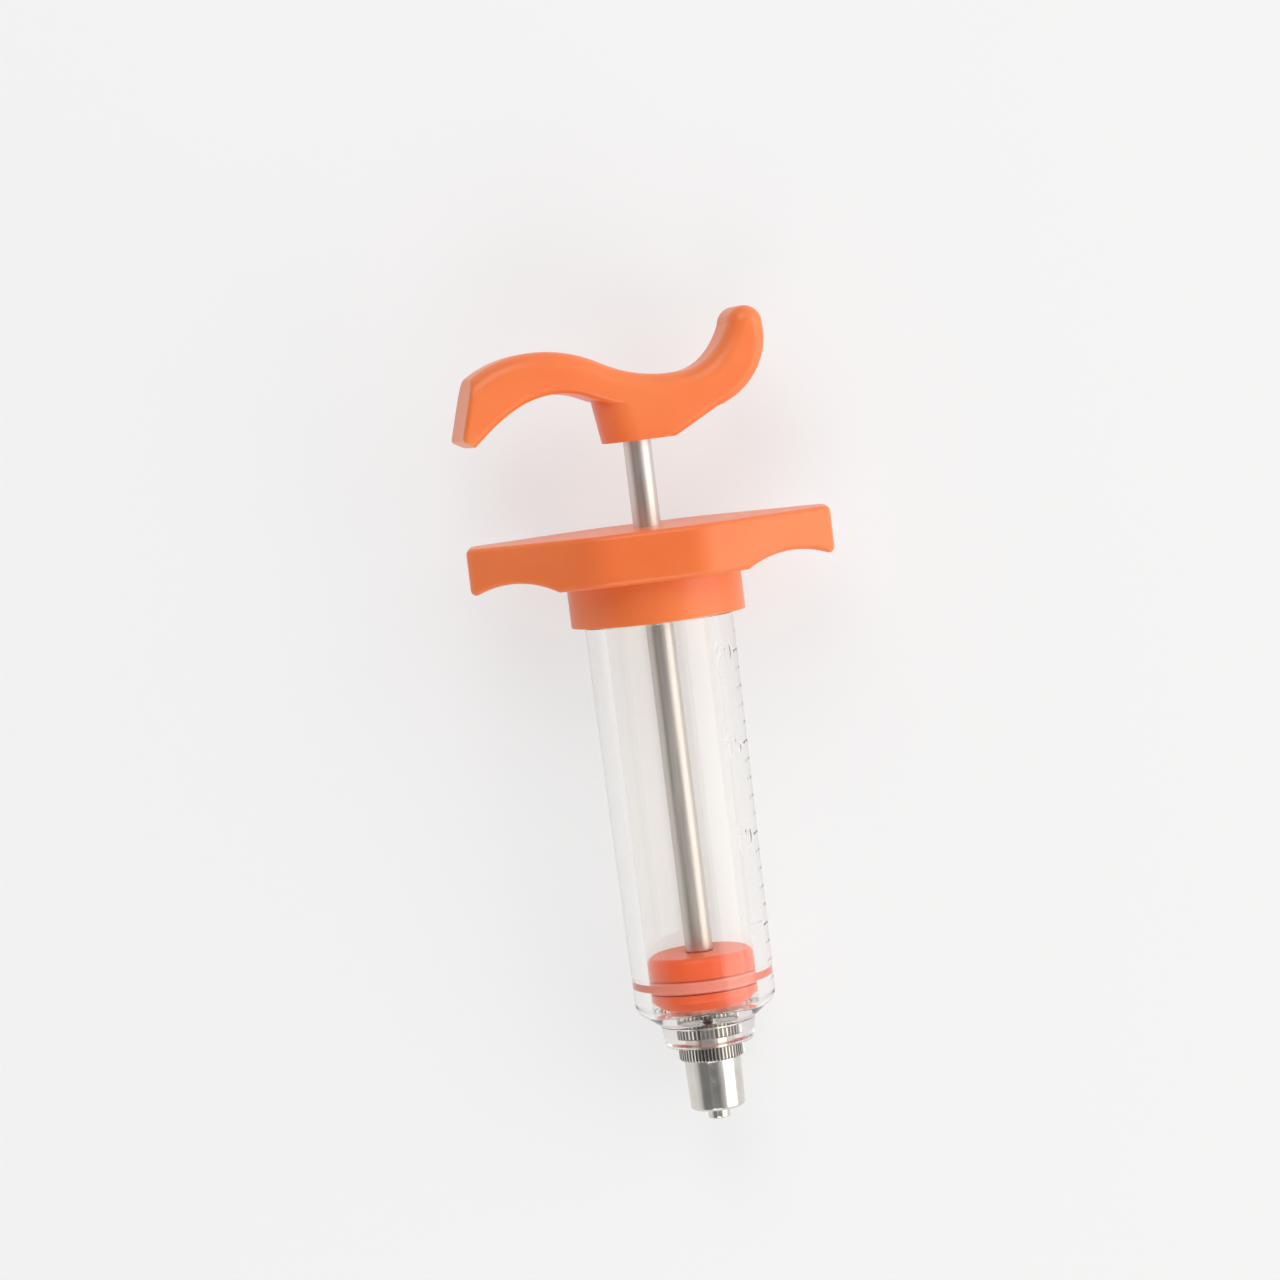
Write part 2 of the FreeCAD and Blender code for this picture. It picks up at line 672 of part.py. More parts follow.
def draw_arm_path(body, size):
    """Middle line of the arm: over the crest, down through the trough and up to the raised end."""
    path = new_sketch(body, "arm_path", "XY_Plane")
    bend = sway_bend(size)
    run = size.trough_reach + size.crest_reach
    crest_centre = (size.crest - size.crest_bend, -size.crest_reach)
    sway_centre = (size.trough + bend, size.trough_reach)
    horn_centre = (size.trough + size.horn_bend, size.trough_reach)
    rise = sway_centre[0].number - crest_centre[0].number
    join = math.atan2(run.number, rise)
    horn_end = math.pi - math.radians(size.horn_turn.number)
    low_end = -math.radians(arm_turn(size).number)
    arcs = [
        (crest_centre, size.crest_bend, low_end, join),
        (sway_centre, bend, math.pi, math.pi + join),
        (horn_centre, size.horn_bend, horn_end, math.pi),
    ]
    for centre, radius, start, stop in arcs:
        middle = Vector(centre[0].number, centre[1].number, 0)
        circle = Part.Circle(middle, AXIS_Z, radius.number)
        curve = path.addGeometry(Part.ArcOfCircle(circle, start, stop), False)
        bind(path, "DistanceY", curve, 3, centre[1])
    path.addConstraint(Sketcher.Constraint("Tangent", 0, 2, 1, 2))
    path.addConstraint(Sketcher.Constraint("Tangent", 1, 1, 2, 2))
    for curve, centre, radius in ((0, crest_centre, size.crest_bend), (2, horn_centre, size.horn_bend)):
        bind(path, "DistanceX", curve, 3, centre[0])
        bind_radius(path, curve, radius)
    hold_end(path, 0, 1, size.crest_bend, arm_turn(size), crest_centre)
    hold_end(path, 2, 1, -size.horn_bend, size.horn_turn, horn_centre)
    return path


def hold_end(path, curve, point, bend, turn, centre):
    """Hold a free end of the path at its turn from the arc's highest or lowest point."""
    bind(path, "DistanceX", curve, point, centre[0] + bend * cosine(turn))


def make_handle(doc, size):
    """Palm handle: an arm swept along an S, its raised end domed, its low end cut to a facet."""
    body = new_body(doc, "handle")
    add_hub_and_web(body, size)
    path = draw_arm_path(body, size)
    doc.recompute()
    start = as_size(0.0)
    end = as_size(1.0)
    palm = size.palm_round
    under = size.under_round
    horn = size.horn_round
    stations = [
        ("low_section", "Edge1", start, size.arm_low_height, under, palm),
        ("crest_section", "Edge1", crest_share(size), size.arm_crest_height, under, palm),
        ("waist_section", "Edge2", end, size.arm_waist_height, palm, under),
        ("trough_section", "Edge3", end, size.arm_trough_height, palm, under),
        ("horn_section", "Edge3", start, size.horn_height, horn, horn),
    ]
    sections = []
    for name, edge, share, height, left_round, right_round in stations:
        section = section_on_path(body, name, path, edge, share)
        draw_bar_section(section, height, size.arm_depth, left_round, right_round)
        sections.append(section)
    arm = body.newObject("PartDesign::AdditivePipe", "arm")
    arm.Profile = sections[0]
    arm.Spine = (path, ["Edge1", "Edge2", "Edge3"])
    arm.Transformation = "Multisection"
    arm.Sections = sections[1:]

    dome = section_on_path(body, "dome_section", path, "Edge3", start)
    draw_half_section(dome, size.horn_height, size.arm_depth, horn)
    revolve(body, "dome", dome, "V_Axis")

    facet = new_sketch(body, "facet_outline", "XY_Plane")
    station = size.crest - size.crest_bend + size.crest_bend * cosine(size.facet_turn)
    reach = -(size.crest_reach + size.crest_bend * sine(size.facet_turn))
    place = Vector(station.number, reach.number, 0)
    facet.AttachmentOffset = Placement(place, Rotation(AXIS_Z, size.facet_lean.number))
    facet.setExpression(".AttachmentOffset.Base.x", station.formula)
    facet.setExpression(".AttachmentOffset.Base.y", reach.formula)
    facet.setExpression(".AttachmentOffset.Rotation.Angle", size.facet_lean.formula)
    cut = size.crest_bend
    draw_polygon(facet, [(-cut, -cut), (cut, -cut), (cut, 0.0), (-cut, 0.0)])
    cropped = extrude(body, "Pocket", "facet", facet, through(size.arm_depth), both_ways=True)

    def facet_edge(edge):
        lean = math.radians(size.facet_lean.number)
        across = Vector(-math.sin(lean), math.cos(lean), 0)
        ends = [vertex.Point for vertex in edge.Vertexes] + [edge.CenterOfMass]
        return all(abs((end - place).dot(across)) < MATCH for end in ends)

    edges = find_edges(cropped, facet_edge)
    dress(body, "Fillet", "facet_round", cropped, edges, size.facet_round)
    hole = new_sketch(body, "rod_socket_outline", "YZ_Plane", size.handle_foot)
    draw_circle(hole, 0.0, 0.0, size.rod_radius)
    extrude(body, "Pocket", "rod_socket", hole, size.rod_top - size.handle_foot, backwards=True)
    return body


def arm_turn(size):
    """Turn of the middle line from the crest down to its end, past the facet, in degrees."""
    return size.facet_turn + size.facet_crop


def crest_share(size):
    """Share of the path's first arc that lies before the crest."""
    run = size.trough_reach + size.crest_reach
    lean = run / (sway_bend(size) + size.crest_bend)
    to_sway = Size(math.degrees(math.asin(lean.number)), f"(asin({lean.formula}) / 1deg)")
    return arm_turn(size) / (arm_turn(size) + to_sway)


def section_on_path(body, name, path, edge, share):
    """A sketch square to the path, a share of the way along one of its arcs."""
    sketch = body.newObject("Sketcher::SketchObject", name)
    sketch.AttachmentSupport = [(path, edge)]
    sketch.MapMode = "NormalToEdge"
    sketch.MapPathParameter = share.number
    sketch.setExpression("MapPathParameter", share.formula)
    return sketch


def add_hub_and_web(body, size):
    """Hub round the rod, flared on one side, and on the other side the web under the raised arm."""
    outline = new_sketch(body, "web_outline", "XY_Plane")
    corners = [
        (size.handle_foot, -size.handle_hub_radius),
        (size.handle_foot, size.handle_hub_radius),
        point_on_horn(size, size.horn_bend + size.arm_trough_height / 2),
        point_on_horn(size, size.horn_bend),
        middle_line(size, size.trough_reach),
        middle_line(size, as_size(0.0)),
        middle_line(size, -size.hub_head_reach),
    ]
    draw_polygon(outline, corners)
    web = extrude(body, "Pad", "web", outline, size.arm_depth, both_ways=True)

    def long_edge(edge, side):
        across = [vertex.Point for vertex in edge.Vertexes]
        if any(abs(abs(point.z) - size.arm_depth.number / 2) > MATCH for point in across):
            return False
        if abs(across[0].z - across[-1].z) > MATCH:
            return False
        at_foot = min(point.x for point in across) < size.handle_foot.number + MATCH
        outward = [point.y * side for point in across]
        return at_foot and min(outward) > size.handle_hub_radius.number - MATCH

    flare = find_edges(web, lambda e: long_edge(e, -1))
    flared = dress(body, "Fillet", "flare_round", web, flare, size.flare_round)
    slope = find_edges(flared, lambda e: long_edge(e, 1))
    dress(body, "Fillet", "web_round", flared, slope, size.under_round)


def sway_bend(size):
    """Radius of the middle line between crest and trough, where it touches both other arcs."""
    drop = size.crest - size.trough
    run = size.trough_reach + size.crest_reach
    return (run * run + drop * drop) / (drop * 2) - size.crest_bend


def middle_line(size, reach):
    """A point of the arm's middle line between crest and trough, at a distance from the axis."""
    bend = sway_bend(size)
    run = size.trough_reach - reach
    return size.trough + bend - root(bend * bend - run * run), reach


def point_on_horn(size, radius):
    """A point round the middle of the arm's rise, where the web runs into its underside."""
    station = size.trough + size.horn_bend - radius * cosine(size.web_turn)
    return station, size.trough_reach + radius * sine(size.web_turn)


# Rest on the floor

def rest_line(size):
    """Lean of the axis and its height over the floor at station 0, with the syringe lying down.

    It rests on two roundings: the cap's lower flat edge and the turn of the barrel's shoulder.
    The floor is the straight line that touches both circles.
    """
    wall_to_cone = math.atan2(
        size.barrel_foot_radius.number - size.neck_top_radius.number,
        size.shoulder_top.number - size.neck_top.number,
    )
    shoulder_round = size.shoulder_round.number
    shoulder = Vector(
        size.shoulder_top.number + shoulder_round * math.tan(wall_to_cone / 2),
        size.barrel_foot_radius.number - shoulder_round,
        0,
    )
    edge_round = size.cap_edge_round.number
    wing_edge = Vector(
        size.wing_foot.number + edge_round,
        size.cap_depth.number - edge_round,
        0,
    )
    gap = wing_edge - shoulder
    slope = math.atan2(gap.y, gap.x)
    lean = slope - math.asin((shoulder_round - edge_round) / gap.Length)
    normal = Vector(-math.sin(lean), math.cos(lean), 0)
    return math.degrees(lean), shoulder.dot(normal) + shoulder_round


def lay_down(size, bodies, turned):
    """Place all pieces on the floor, handle end raised, tip towards +X, centred on the origin."""
    lean, height = rest_line(size)
    lying = Rotation(Vector(0, 1, 0), HALF_TURN + lean)
    roll = Rotation(Vector(1, 0, 0), size.handle_roll.number)
    extent = FreeCAD.BoundBox()
    for body in bodies:
        rotation = lying.multiply(roll) if body.Label in turned else lying
        body.Placement = Placement(Vector(0, 0, height), rotation)
        extent.add(body.Shape.optimalBoundingBox(False))
    for body in bodies:
        body.Placement.Base = Vector(-extent.Center.x, 0, height)
    return lean, height, extent


def check_document(doc):
    """Stop if any object failed or holds no sound shape."""
    for item in doc.Objects:
        bad = [state for state in item.State if state in ("Invalid", "Error")]
        if bad:
            raise RuntimeError(f"{item.Label} failed: {bad}")
    for body in doc.findObjects("PartDesign::Body"):
        shape = body.Shape
        if shape.isNull() or not shape.isValid() or len(shape.Solids) != 1:
            raise RuntimeError(f"{body.Label} is not one sound solid")


def main():
    doc = FreeCAD.newDocument("syringe")
    size = make_sheet(doc)
    bodies = [
        make_barrel(doc, size),
        make_luer_cone(doc, size),
        make_lock_collar(doc, size),
        make_piston(doc, size),
        make_piston_ring(doc, size),
        make_plunger_rod(doc, size),
        make_cap(doc, size),
        make_handle(doc, size),
    ]
    doc.recompute()
    check_document(doc)
    lean, height, extent = lay_down(size, bodies, ("handle", "plunger_rod", "piston"))
    doc.recompute()
    check_document(doc)
    os.makedirs("parts", exist_ok=True)
    for body in bodies:
        body.Shape.exportStep(f"parts/{body.Label}.step")
        print(f"{body.Label}: {body.Shape.Volume:.1f} mm3, {len(body.Shape.Faces)} faces")
    volume = size.scale_end * size.bore_radius * size.bore_radius * math.pi / MM3_PER_ML
    print(f"{volume.number:.2f} ml up to the last scale mark")
    print(f"lean {lean:.4f} degrees, axis {height:.4f} mm over the floor at station 0")
    print(f"station 0 at X {-extent.Center.x:.4f} mm")


main()
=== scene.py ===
"""Looks of the 20 ml syringe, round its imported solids.

Lengths are millimetres and angles degrees until a mesh is made. Pieces are drawn in the syringe's
own frame: X runs along the axis from the bottom of the bore towards the handle, Y runs out along
the right wing, and Z points down. A place along the axis is called a station, and a turn round the
axis is counted from the top, towards the right wing. One matrix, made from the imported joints,
then lays every piece down, so that meshes and solids share one frame.
"""

import math

import bmesh
import bpy
from mathutils import Matrix, Vector
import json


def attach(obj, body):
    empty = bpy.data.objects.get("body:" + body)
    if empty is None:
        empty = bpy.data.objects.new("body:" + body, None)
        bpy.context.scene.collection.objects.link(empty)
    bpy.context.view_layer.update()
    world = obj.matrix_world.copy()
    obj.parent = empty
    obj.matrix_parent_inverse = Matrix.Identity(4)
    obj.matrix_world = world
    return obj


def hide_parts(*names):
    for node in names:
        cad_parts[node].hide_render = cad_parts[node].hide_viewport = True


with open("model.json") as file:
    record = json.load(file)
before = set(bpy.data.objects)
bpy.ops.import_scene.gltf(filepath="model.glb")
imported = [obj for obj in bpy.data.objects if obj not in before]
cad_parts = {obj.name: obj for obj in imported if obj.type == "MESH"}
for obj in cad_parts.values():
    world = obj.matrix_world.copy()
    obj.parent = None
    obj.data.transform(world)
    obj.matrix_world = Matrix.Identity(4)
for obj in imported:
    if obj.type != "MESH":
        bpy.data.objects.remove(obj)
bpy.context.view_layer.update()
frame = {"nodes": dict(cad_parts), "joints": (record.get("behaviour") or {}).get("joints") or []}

MM = 0.001
FULL_TURN = 2 * math.pi

# The syringe's own frame

JOINTS = {joint["name"]: joint for joint in frame["joints"]}
BACK = Vector(JOINTS["plunger_turn"]["axis"]).normalized()
RIGHT = Vector((0, 1, 0))
DOWN = BACK.cross(RIGHT)
START = Vector(JOINTS["plunger_turn"]["pos_m"])
LAID = Matrix.Translation(START) @ Matrix((BACK, RIGHT, DOWN)).transposed().to_4x4()

# Sizes in millimetres, as in the solids

BORE = 9.8
BARREL_FOOT = 12.75
BARREL_HEAD = 13.4
THREAD_FOOT = 70.0
THREAD = 13.1
RIM = 83.3
SHOULDER_TOP = -0.13
NECK_TOP = -3.3
NECK_TOP_RADIUS = 8.6
NECK_FOOT = -7.4
NECK_FOOT_RADIUS = 8.0
CHANNEL = 1.1
HUB_TOP = -1.0
HUB_FOOT = -5.75
HUB = 3.9
SHANK = 3.0
COLLAR_FLOOR = -12.3
COLLAR_END = -19.25
COLLAR_BORE = 4.0
COLLAR_TOP_RADIUS = 5.15
COLLAR_END_RADIUS = 4.95
KNURL_FOOT = -10.05
KNURL = 5.92
TIP_END = -21.25
TIP = 1.975
TIP_TAPER = 0.06
PISTON_FOOT = 0.15
PISTON_TOP = 9.65
PISTON = 9.675
RING_STATION = 4.4
RING_RADIUS = 8.57
GROOVE_HALF = 1.35
GROOVE_RADIUS = 7.29
ROD = 2.5
ROD_END = 2.0
ROD_END_STATION = 2.65
ROD_TOP = 111.5
MM3_PER_ML = 1000.0
MM_PER_ML = MM3_PER_ML / (math.pi * BORE * BORE)


# Meshes

# Name of the mesh layer that carries the painted shade in the knurl grooves
KNURL_SHADE = "groove"
NEAR_AXIS = 0.001


def add_piece(name, mesh, material, body, replaced=()):
    """A new piece from a mesh drawn in the syringe's frame, laid down and riding on its body."""
    mesh.transform(LAID @ Matrix.Scale(MM, 4))
    mesh.materials.append(material)
    piece = bpy.data.objects.new(name, mesh)
    bpy.context.scene.collection.objects.link(piece)
    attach(piece, body)
    if replaced:
        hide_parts(*replaced)
    return piece


def finish_mesh(name, bm, sharp=38.0):
    """Turn a bmesh into a smooth-shaded mesh that keeps its hard edges."""
    bmesh.ops.recalc_face_normals(bm, faces=bm.faces)
    mesh = bpy.data.meshes.new(name)
    bm.to_mesh(mesh)
    bm.free()
    mesh.shade_smooth()
    mesh.set_sharp_from_angle(angle=math.radians(sharp))
    return mesh


def soften(corners, closed=True, steps=5):
    """Round an outline's corners. Each corner is a station, a radius and its rounding."""
    count = len(corners)
    outline = []
    for index, (station, radius, rounding) in enumerate(corners):
        here = Vector((station, radius))
        at_end = not closed and index in (0, count - 1)
        if at_end or not rounding:
            outline.append(here)
            continue
        before = Vector(corners[index - 1][:2]) - here
        after = Vector(corners[(index + 1) % count][:2]) - here
        opening = before.angle(after)
        reach = rounding / math.tan(opening / 2)
        first = here + before.normalized() * reach
        last = here + after.normalized() * reach
        middle = (before.normalized() + after.normalized()).normalized()
        centre = here + middle * (rounding / math.sin(opening / 2))
        turn = math.pi - opening
        side = 1 if (first - centre).cross(last - centre) > 0 else -1
        for step in range(steps + 1):
            angle = side * turn * step / steps
            outline.append(centre + Matrix.Rotation(angle, 2) @ (first - centre))
    return add_support(outline, closed)


def add_support(outline, closed):
    """Put a point near each end of the long straight runs, so that shading stays on the bends."""
    nearness = 0.25
    supported = []
    count = len(outline)
    for index, point in enumerate(outline):
        supported.append(point)
        if index == count - 1 and not closed:
            break
        run = outline[(index + 1) % count] - point
        if run.length > 4 * nearness:
            supported.append(point + run.normalized() * nearness)
            supported.append(point + run - run.normalized() * nearness)
    return supported


def lathe(name, outline, steps=160, closed=True, depth_at=None, turns=None, sharp=38.0):
    """Turn an outline round the axis. depth_at gives how far a cut goes in at a station and turn.

    A layer of the mesh keeps each point's share of the knurl's depth, for the painted shade that
    darkens the grooves.
    """
    turns = turns or [FULL_TURN * step / steps for step in range(steps)]
    steps = len(turns)
    bm = bmesh.new()
    # Each point's share of the knurl's depth, used for the painted shade in the grooves
    groove_shade = bm.verts.layers.float.new(KNURL_SHADE)
    rings = []
    for station, radius in outline:
        if radius < NEAR_AXIS:
            rings.append([bm.verts.new((station, 0, 0))])
            continue
        ring = []
        for turn in turns:
            depth = depth_at(station, radius, turn) if depth_at else 0
            reach = radius - depth
            vert = bm.verts.new((station, reach * math.sin(turn), -reach * math.cos(turn)))
            vert[groove_shade] = min(1.0, max(0.0, depth / RING_TOOTH_DEPTH))
            ring.append(vert)
        rings.append(ring)
    pairs = list(zip(rings, rings[1:]))
    if closed:
        pairs.append((rings[-1], rings[0]))
    for first, second in pairs:
        for step in range(steps):
            after = (step + 1) % steps
            if len(first) == 1:
                bm.faces.new((first[0], second[step], second[after]))
            elif len(second) == 1:
                bm.faces.new((first[step], second[0], first[after]))
            else:
                bm.faces.new((first[step], second[step], second[after], first[after]))
    return finish_mesh(name, bm, sharp)


def tooth(turn, count):
    """Share of the knurl's depth at a turn: 0 on a tooth's crest, 1 at the root between two."""
    wave = 0.5 - 0.5 * math.cos(turn * count)
    return min(1.0, max(0.0, 1.5 * wave - 0.25))


# Materials

RANGE_SOCKETS = ("From Min", "From Max", "To Min", "To Max")


class Paint:
    """A node material, with short calls for what the finishes share."""

    def __init__(self, name, colour, **sockets):
        self.material = bpy.data.materials.new(name)
        self.material.use_nodes = True
        self.tree = self.material.node_tree
        self.shader = self.tree.nodes["Principled BSDF"]
        self.shader.inputs["Base Color"].default_value = (*colour, 1)
        for socket, value in sockets.items():
            self.shader.inputs[socket.replace("_", " ")].default_value = value
        coordinates = self.tree.nodes.new("ShaderNodeTexCoord")
        laid = self.node("ShaderNodeMapping", vector_type="TEXTURE")
        laid.inputs["Location"].default_value = START
        laid.inputs["Rotation"].default_value = LAID.to_euler()
        self.link(coordinates.outputs["Object"], laid.inputs["Vector"])
        self.place = laid.outputs["Vector"]

    def node(self, kind, **values):
        node = self.tree.nodes.new(kind)
        for name, value in values.items():
            setattr(node, name, value)
        return node

    def link(self, output, target):
        self.tree.links.new(output, target)

    def noise(self, scale, stretch=(1, 1, 1), detail=4.0, roughness=0.5):
        """Noise of about one feature per 1/scale metres, stretched along the syringe's axes."""
        mapping = self.node("ShaderNodeMapping")
        mapping.inputs["Scale"].default_value = stretch
        self.link(self.place, mapping.inputs["Vector"])
        noise = self.node("ShaderNodeTexNoise")
        noise.inputs["Scale"].default_value = scale
        noise.inputs["Detail"].default_value = detail
        noise.inputs["Roughness"].default_value = roughness
        self.link(mapping.outputs["Vector"], noise.inputs["Vector"])
        return noise.outputs["Fac"]

    def spread(self, value, low, high, start=0.3, stop=0.7):
        """Map a noise's middle range onto low to high."""
        ranged = self.node("ShaderNodeMapRange", clamp=True)
        for socket, number in zip(RANGE_SOCKETS, (start, stop, low, high)):
            ranged.inputs[socket].default_value = number
        self.link(value, ranged.inputs["Value"])
        return ranged.outputs["Result"]

    def tint(self, factor, first, second):
        """Colour between two tints."""
        mix = self.node("ShaderNodeMix", data_type="RGBA")
        mix.inputs[6].default_value = (*first, 1)
        mix.inputs[7].default_value = (*second, 1)
        self.link(factor, mix.inputs[0])
        self.link(mix.outputs[2], self.shader.inputs["Base Color"])

    def rough(self, value):
        self.link(value, self.shader.inputs["Roughness"])

    def bump(self, height, distance, strength=1.0, under=None):
        """Raise the surface by a height map whose full depth is distance, in millimetres."""
        bump = self.node("ShaderNodeBump")
        bump.inputs["Strength"].default_value = strength
        bump.inputs["Distance"].default_value = distance * MM
        self.link(height, bump.inputs["Height"])
        if under is not None:
            self.link(under, bump.inputs["Normal"])
        self.link(bump.outputs["Normal"], self.shader.inputs["Normal"])
        return bump.outputs["Normal"]


def paint_orange(name, first, second):
    """Satin moulded orange plastic, a little translucent, with soft flow marks."""
    paint = Paint(name, first, Subsurface_Weight=0.5, Subsurface_Scale=0.004, IOR=1.5)
    paint.shader.inputs["Subsurface Radius"].default_value = (1.0, 0.35, 0.12)
    paint.tint(paint.spread(paint.noise(45, detail=3), 0, 1), first, second)
    paint.rough(paint.spread(paint.noise(180, detail=2), 0.3, 0.36))
    ripple = paint.bump(paint.noise(120, detail=2), 0.25, 0.12)
    paint.bump(paint.noise(900, detail=1), 0.008, 0.2, under=ripple)
    return paint.material


def paint_clear():
    """Clear polished plastic, faintly warm, that lets lamps through."""
    paint = Paint("clear_plastic", (0.978, 0.962, 0.945), Transmission_Weight=1.0, IOR=1.49)
    paint.rough(paint.spread(paint.noise(90, detail=3), 0.01, 0.045))
    paint.bump(paint.noise(60, stretch=(0.4, 1, 1), detail=1), 0.06, 0.25)
    passing = paint.node("ShaderNodeBsdfTransparent")
    passing.inputs["Color"].default_value = (0.93, 0.92, 0.91, 1)
    ray = paint.node("ShaderNodeLightPath")
    mix = paint.node("ShaderNodeMixShader")
    paint.link(ray.outputs["Is Shadow Ray"], mix.inputs["Fac"])
    paint.link(paint.shader.outputs["BSDF"], mix.inputs[1])
    paint.link(passing.outputs["BSDF"], mix.inputs[2])
    paint.link(mix.outputs["Shader"], paint.tree.nodes["Material Output"].inputs["Surface"])
    return paint.material


def paint_nickel():
    """Bright nickel plate over turned metal: fine turning lines, rubbed spots, and painted shade that
    darkens the knurl grooves.
    """
    paint = Paint("nickel", (0.74, 0.71, 0.66), Metallic=1.0)
    wear = paint.noise(260, detail=6, roughness=0.65)
    paint.tint(paint.spread(wear, 0, 1), (0.66, 0.63, 0.58), (0.75, 0.725, 0.68))
    # Painted shade: the base colour darkens towards the roots of the knurl teeth, where shade falls
    groove = paint.node("ShaderNodeAttribute", attribute_name=KNURL_SHADE)
    plate = paint.shader.inputs["Base Color"].links[0].from_socket
    paint.tint(groove.outputs["Fac"], (1, 1, 1), (0.2, 0.18, 0.16))
    paint.link(plate, paint.shader.inputs["Base Color"].links[0].from_node.inputs[6])
    paint.rough(paint.spread(wear, 0.10, 0.24))
    lines = paint.noise(900, stretch=(6, 0.05, 0.05), detail=3)
    turned = paint.bump(lines, 0.006, 0.35)
    paint.bump(paint.noise(500, detail=4), 0.01, 0.12, under=turned)
    return paint.material


def paint_steel():
    """Ground steel rod with fine scratches that run mostly along it."""
    paint = Paint("rod_steel", (0.62, 0.6, 0.575), Metallic=1.0)
    grain = paint.noise(700, stretch=(0.06, 3, 3), detail=5, roughness=0.6)
    paint.tint(paint.spread(grain, 0, 1), (0.64, 0.605, 0.565), (0.76, 0.72, 0.67))
    paint.rough(paint.spread(grain, 0.32, 0.46))
    ground = paint.bump(grain, 0.012, 0.4)
    nicks = paint.spread(paint.noise(1500, stretch=(0.15, 1, 1), detail=2), 0, 1, 0.66, 0.74)
    paint.bump(nicks, 0.01, 0.35, under=ground)
    return paint.material


def paint_silicone():
    """Translucent salmon silicone."""
    paint = Paint("silicone", (0.93, 0.28, 0.2), Subsurface_Weight=0.6, Subsurface_Scale=0.003,
                  IOR=1.42)
    paint.shader.inputs["Subsurface Radius"].default_value = (1.0, 0.5, 0.4)
    paint.tint(paint.spread(paint.noise(150, detail=3), 0, 1), (0.92, 0.26, 0.18), (0.95, 0.31, 0.23))
    paint.rough(paint.spread(paint.noise(400, detail=4), 0.38, 0.5))
    paint.bump(paint.noise(1500, detail=2), 0.02, 0.2)
    return paint.material


# Clear barrel with its raised scale

# Turns at which the marks start and end, and the numerals' middle and half their span, in degrees
SCALE_END_TURN = 100.0
SHORT_MARK_TURN = 70.0
LONG_MARK_TURN = 52.0
NUMERAL_TURN = 54.0
NUMERAL_SPAN = 13.0

SCALE_ML = 20
SCALE_STEP_ML = 5
RELIEF = 0.06

# Distances from a mark's middle to the plain wall, to the mark's foot and to its crest
MARK_ROWS = (0.44, 0.33, 0.09)

# Numerals, each a line of strokes from its lower left corner
NUMERAL_HEIGHT = 4.0
NUMERAL_GAP = 1.2
DIGIT_WIDTH = 2.2
DIGIT_SPACE = 0.55
STROKE = 0.1
STROKE_FOOT = 0.42
GRAIN = 0.12
OVAL_TURNS = [step * math.pi / 10 for step in range(21)]
DIGITS = {
    "0": [(1.1 + 0.95 * math.sin(turn), 2 + 1.8 * math.cos(turn)) for turn in OVAL_TURNS],
    "1": [(0.3, 3.2), (1.15, 3.8), (1.15, 0.2)],
    "2": [(0.2, 3.0), (0.4, 3.5), (0.9, 3.8), (1.4, 3.75), (1.8, 3.4), (1.9, 2.8), (1.6, 2.1),
          (0.2, 0.2), (2.0, 0.2)],
    "5": [(1.9, 3.8), (0.5, 3.8), (0.3, 2.2), (1.1, 2.45), (1.7, 2.15), (2.0, 1.5), (1.9, 0.8),
          (1.4, 0.3), (0.8, 0.2), (0.2, 0.5)],
}


def wall_radius(station):
    """Outside of the barrel, which widens a little towards the cap."""
    share = (station - SHOULDER_TOP) / (THREAD_FOOT - SHOULDER_TOP)
    return BARREL_FOOT + share * (BARREL_HEAD - BARREL_FOOT)


def off_stroke(point, stroke):
    """Distance from a point to a line of strokes."""
    nearest = BORE
    for first, second in zip(stroke, stroke[1:]):
        first = Vector(first)
        run = Vector(second) - first
        share = max(0.0, min(1.0, (point - first).dot(run) / run.length_squared))
        nearest = min(nearest, (point - first - run * share).length)
    return nearest


def numeral_relief(volume, station, turn):
    """Height of a numeral over the wall, at a station and a turn in degrees."""
    text = str(volume)
    up = station - (volume * MM_PER_ML - NUMERAL_GAP - NUMERAL_HEIGHT)
    across = math.radians(turn - NUMERAL_TURN) * wall_radius(station)
    beside = abs(turn - NUMERAL_TURN) > NUMERAL_SPAN
    if beside or not -STROKE_FOOT < up < NUMERAL_HEIGHT + STROKE_FOOT:
        return 0
    pitch = DIGIT_WIDTH + DIGIT_SPACE
    left = -(pitch * len(text) - DIGIT_SPACE) / 2
    off = min(off_stroke(Vector((across - left - pitch * place, up)), DIGITS[digit])
              for place, digit in enumerate(text))
    return RELIEF * max(0.0, min(1.0, (STROKE_FOOT - off) / (STROKE_FOOT - STROKE)))


def mark_relief(station, turn):
    """Height of the scale's lines over the wall, at a station and a turn in degrees."""
    volume = round(station / MM_PER_ML)
    off = abs(station - volume * MM_PER_ML)
    start = SHORT_MARK_TURN if volume % SCALE_STEP_ML else LONG_MARK_TURN
    if not 1 <= volume <= SCALE_ML or not start <= turn <= SCALE_END_TURN:
        return 0
    _, foot, crest = MARK_ROWS
    return RELIEF * max(0.0, min(1.0, (foot - off) / (foot - crest)))


def scale_rows():
    """Stations at which the wall needs a row of points, for its lines and numerals."""
    rows = set()
    for volume in range(1, SCALE_ML + 1):
        middle = volume * MM_PER_ML
        rows.update(middle + side * off for off in MARK_ROWS for side in (1, -1))
        if volume % SCALE_STEP_ML:
            continue
        count = int((NUMERAL_HEIGHT + 2 * STROKE_FOOT) / GRAIN)
        foot = middle - NUMERAL_GAP - NUMERAL_HEIGHT - STROKE_FOOT
        rows.update(foot + GRAIN * step for step in range(count + 1))
    return sorted(rows, reverse=True)


def scale_turns():
    """Turns of the wall's points, closer together under the numerals."""
    coarse = 1.875
    fine = 0.55
    turns = []
    turn = 0.0
    while turn < 360 - coarse / 2:
        turns.append(math.radians(turn))
        turn += fine if abs(turn - NUMERAL_TURN) < NUMERAL_SPAN else coarse
    return turns


